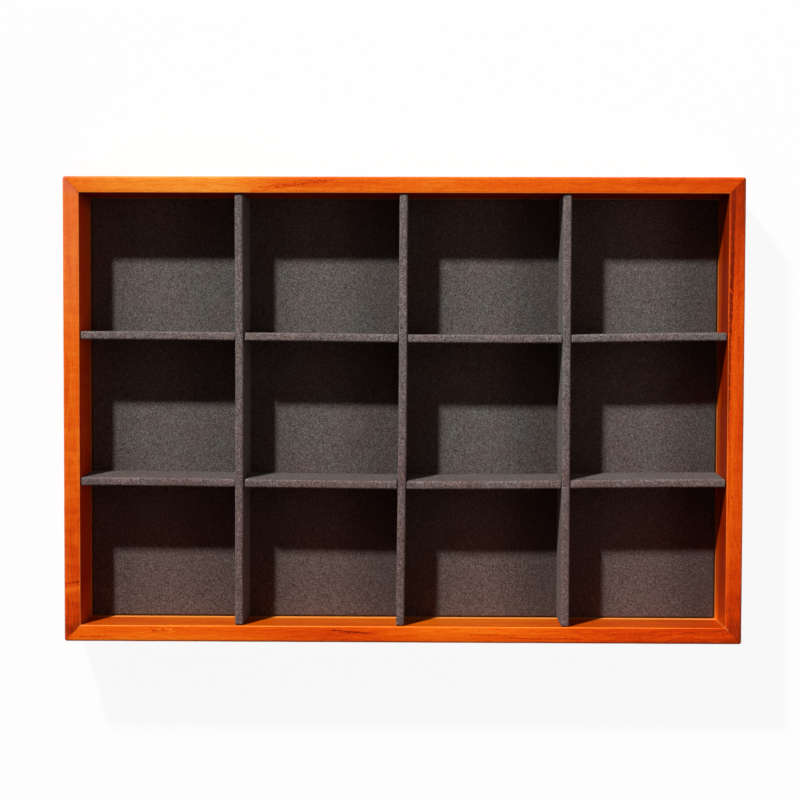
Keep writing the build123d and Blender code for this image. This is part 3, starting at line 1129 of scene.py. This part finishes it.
def linerSkin():
    low, high = linerLow, linerHigh
    length, width = high.x - low.x, high.y - low.y
    radius, waves = linerShape["edgeRadius"], linerShape["dipWaves"]
    xs = edgeLines(0, length, radius, linerShape["grid"])
    ys = edgeLines(0, width, radius, linerShape["grid"])
    points, faces = [], []
    for x in xs:
        for y in ys:
            a, b = min(x, length - x), min(y, width - y)
            away = min(a, b)
            if a < radius and b < radius:
                a, b, away = softenCorner(a, b, radius)
            newX = a if x < length / 2 else length - a
            newY = b if y < width / 2 else width - b
            calm = min(1.0, max(0.0, away - radius) / linerShape["dipEase"])
            dip = calm * linerShape["dip"] * (noise.noise(Vector((x * waves, y * waves, 2.0))) - 0.7)
            points.append((low.x + newX, low.y + newY, high.z - roundOver(max(away, 0.0), radius) + dip))
    rows = len(ys)
    for i in range(len(xs) - 1):
        for j in range(rows - 1):
            faces.append((i * rows + j, (i + 1) * rows + j, (i + 1) * rows + j + 1, i * rows + j + 1))
    # the edge, from the top's outline down the side and in under the board, one side at a time
    last = len(xs) - 1
    outlines = [  # points, the axis that leads in from them, and which way
        (list(range(rows)), 0, 1),
        ([last * rows + j for j in range(rows)], 0, -1),
        ([i * rows for i in range(last + 1)], 1, 1),
        ([i * rows + rows - 1 for i in range(last + 1)], 1, -1),
    ]
    foot, slit = linerShape["footRadius"], linerShape["flapSlit"] / math.sqrt(2)
    levels = [(0.0, high.z - radius - 0.8 * mm)]
    for angle in (0, 30, 60, 90):
        turn = math.radians(angle)
        levels.append((foot * (1 - math.cos(turn)), low.z + foot * (1 - math.sin(turn))))
    levels += [(linerShape["flap"] * share, low.z) for share in linerShape["flapShares"]]
    for outline, axis, way in outlines:
        side = 1 - axis
        edge = (low if way > 0 else high)[axis]
        rings = [outline]
        for inset, level in levels:
            room = inset + slit if inset > foot else 0.0
            firstNew = len(points)
            for v in outline:
                place = [0.0, 0.0, level]
                place[axis] = (edge if inset > foot else points[v][axis]) + way * inset
                place[side] = min(max(points[v][side], low[side] + room), high[side] - room)
                points.append(tuple(place))
            rings.append(list(range(firstNew, len(points))))
        for upper, lower in zip(rings, rings[1:]):
            for n in range(len(upper) - 1):
                faces.append((upper[n], upper[n + 1], lower[n + 1], lower[n]))
    mesh = meshFrom("linerFelt", points, faces)
    weld(mesh)
    return thicken("linerFelt", mesh, linerShape["felt"])


linerCloth = feltMaterial("linerFelt", 4.0, withCompartmentShading=True)
linerFelt = newPiece("linerFelt", linerSkin(), linerCloth, "liner", ["liner_cover"])
print("liner wrapped")


# Pieces that stay as the CAD made them, with their own finishes

def plywoodMaterial():
    material, shader, inMm, axes = newMaterial("birchPlywood")
    figure = noiseOf(stretched(axes, (0.008, 0.09, 0.2)), 1.0, 4.0, 0.55, 0.8)
    fibre = noiseOf(stretched(axes, (0.09, 1.9, 2.4)), 1.0, 3.0, 0.6)
    pores = fade(noiseOf(stretched(axes, (0.2, 3.6, 4.0)), 1.0, 1.0), 0.64, 0.72)
    stops = [(0.3, tone(204, 168, 118)), (0.5, tone(222, 190, 142)), (0.68, tone(186, 144, 94))]
    colour = mixColour(pores * 0.45, rampOf(figure * 0.7 + fibre * 0.3, stops), tone(128, 88, 52))
    finish(shader, colour, 0.62, fibre, 0.05, **{"Specular IOR Level": 0.3})
    return material


keptFinishes = {
    "bottom_panel": plywoodMaterial(),
    "liner_board": boardMaterial("greyBoard", tone(168, 164, 156), tone(126, 122, 114), 1.2),
}
for node, material in keptFinishes.items():
    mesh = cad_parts[node].data
    mesh.materials.clear()
    mesh.materials.append(material)
print("liner board and panel finished")


# Camera, light and floor

view = {
    "place": (7.50 * mm, 32.65 * mm, 810.2 * mm),
    "tilt": 1.997,  # degrees about X, Y and Z that take the tray's frame to the camera's
    "lean": -0.660,
    "roll": -0.189,
    "focalPixels": 1509.5,
    "framePixels": 800,
}
camera = addObject("camera", bpy.data.cameras.new("camera"))
camera.data.sensor_width = 36
camera.data.lens = camera.data.sensor_width * view["focalPixels"] / view["framePixels"]
camera.data.clip_start = 0.01
turn = Matrix.Identity(4)
for angle, axis in ((view["tilt"], "X"), (view["lean"], "Y"), (view["roll"], "Z")):
    turn = turn @ Matrix.Rotation(-math.radians(angle), 4, axis)
camera.matrix_world = Matrix.Translation(view["place"]) @ turn
bpy.context.scene.camera = camera

lights = {
    "key": {
        "place": (-505 * mm, 1018 * mm, 770 * mm),
        "aim": (497 * mm, -118 * mm, 496 * mm),  # feathered past the front right, for even light
        "across": 95 * mm,
        "power": 17.0,
        "tone": (1.0, 0.985, 0.96),
    },
    "card": {  # a soft reflector on the right
        "place": (900 * mm, 60 * mm, 520 * mm),
        "aim": (0, 0, 0),
        "across": 800 * mm,
        "power": 1.6,
        "tone": (1.0, 0.68, 0.58),
    },
}
for name, light in lights.items():
    data = bpy.data.lights.new(name, "AREA")
    data.size, data.energy, data.color = light["across"], light["power"], light["tone"]
    stand = addObject(name, data)
    stand.location = light["place"]
    line = Vector(light["place"]) - Vector(light["aim"])
    stand.rotation_euler = line.to_track_quat("Z", "Y").to_euler()

key = bpy.data.lights["key"]
key.shape = "DISK"
key.use_nodes = True
keyGlow = next(n for n in key.node_tree.nodes if n.type == "EMISSION")
evenly = nodeValue(key.node_tree, "LightFalloff", {"Strength": 1.0}, "Constant")  # as bright far away as near
plug(evenly, keyGlow.inputs["Strength"])


def seenDirectly(tree):
    # 1 for camera, glossy and transmission rays
    path = addNode(tree, "LightPath").outputs
    both = calc("MAXIMUM", Value(path["Is Camera Ray"]), Value(path["Is Glossy Ray"]))
    return calc("MAXIMUM", both, Value(path["Is Transmission Ray"]))


plainWhite = {"Color": (1, 1, 1, 1), "Strength": 1.0}
softFill = {"Color": (1.0, 0.52, 0.46, 1.0), "Strength": 0.08}
floorTone = (0.86, 0.86, 0.86, 1.0)
floorWhite = 0.93  # share of the floor that shows as plain white to the camera
floorReach = 3.0

world = bpy.data.worlds.new("studio")
bpy.context.scene.world = world
world.use_nodes = True
skyTree = world.node_tree
skyTree.nodes.clear()
fill = nodeValue(skyTree, "Background", softFill)
white = nodeValue(skyTree, "Background", plainWhite)
sky = nodeValue(skyTree, "MixShader", {0: seenDirectly(skyTree), 1: fill, 2: white})
addNode(skyTree, "OutputWorld", {"Surface": sky})

floorMaterial = bpy.data.materials.new("paleFloor")
floorMaterial.use_nodes = True
floorTree = floorMaterial.node_tree
floorTree.nodes.clear()
paper = nodeValue(floorTree, "BsdfDiffuse", {"Color": floorTone})
glow = nodeValue(floorTree, "Emission", plainWhite)
share = seenDirectly(floorTree) * floorWhite
surface = nodeValue(floorTree, "MixShader", {0: share, 1: paper, 2: glow})
addNode(floorTree, "OutputMaterial", {"Surface": surface})
floorCorners = [(x * floorReach, y * floorReach, 0) for x, y in ((-1, -1), (1, -1), (1, 1), (-1, 1))]
floor = addObject("floor", meshFrom("floor", floorCorners, [(0, 1, 2, 3)]))
floor.data.materials.append(floorMaterial)

bpy.context.scene.view_settings.view_transform = "Standard"
print("camera, light and floor set")
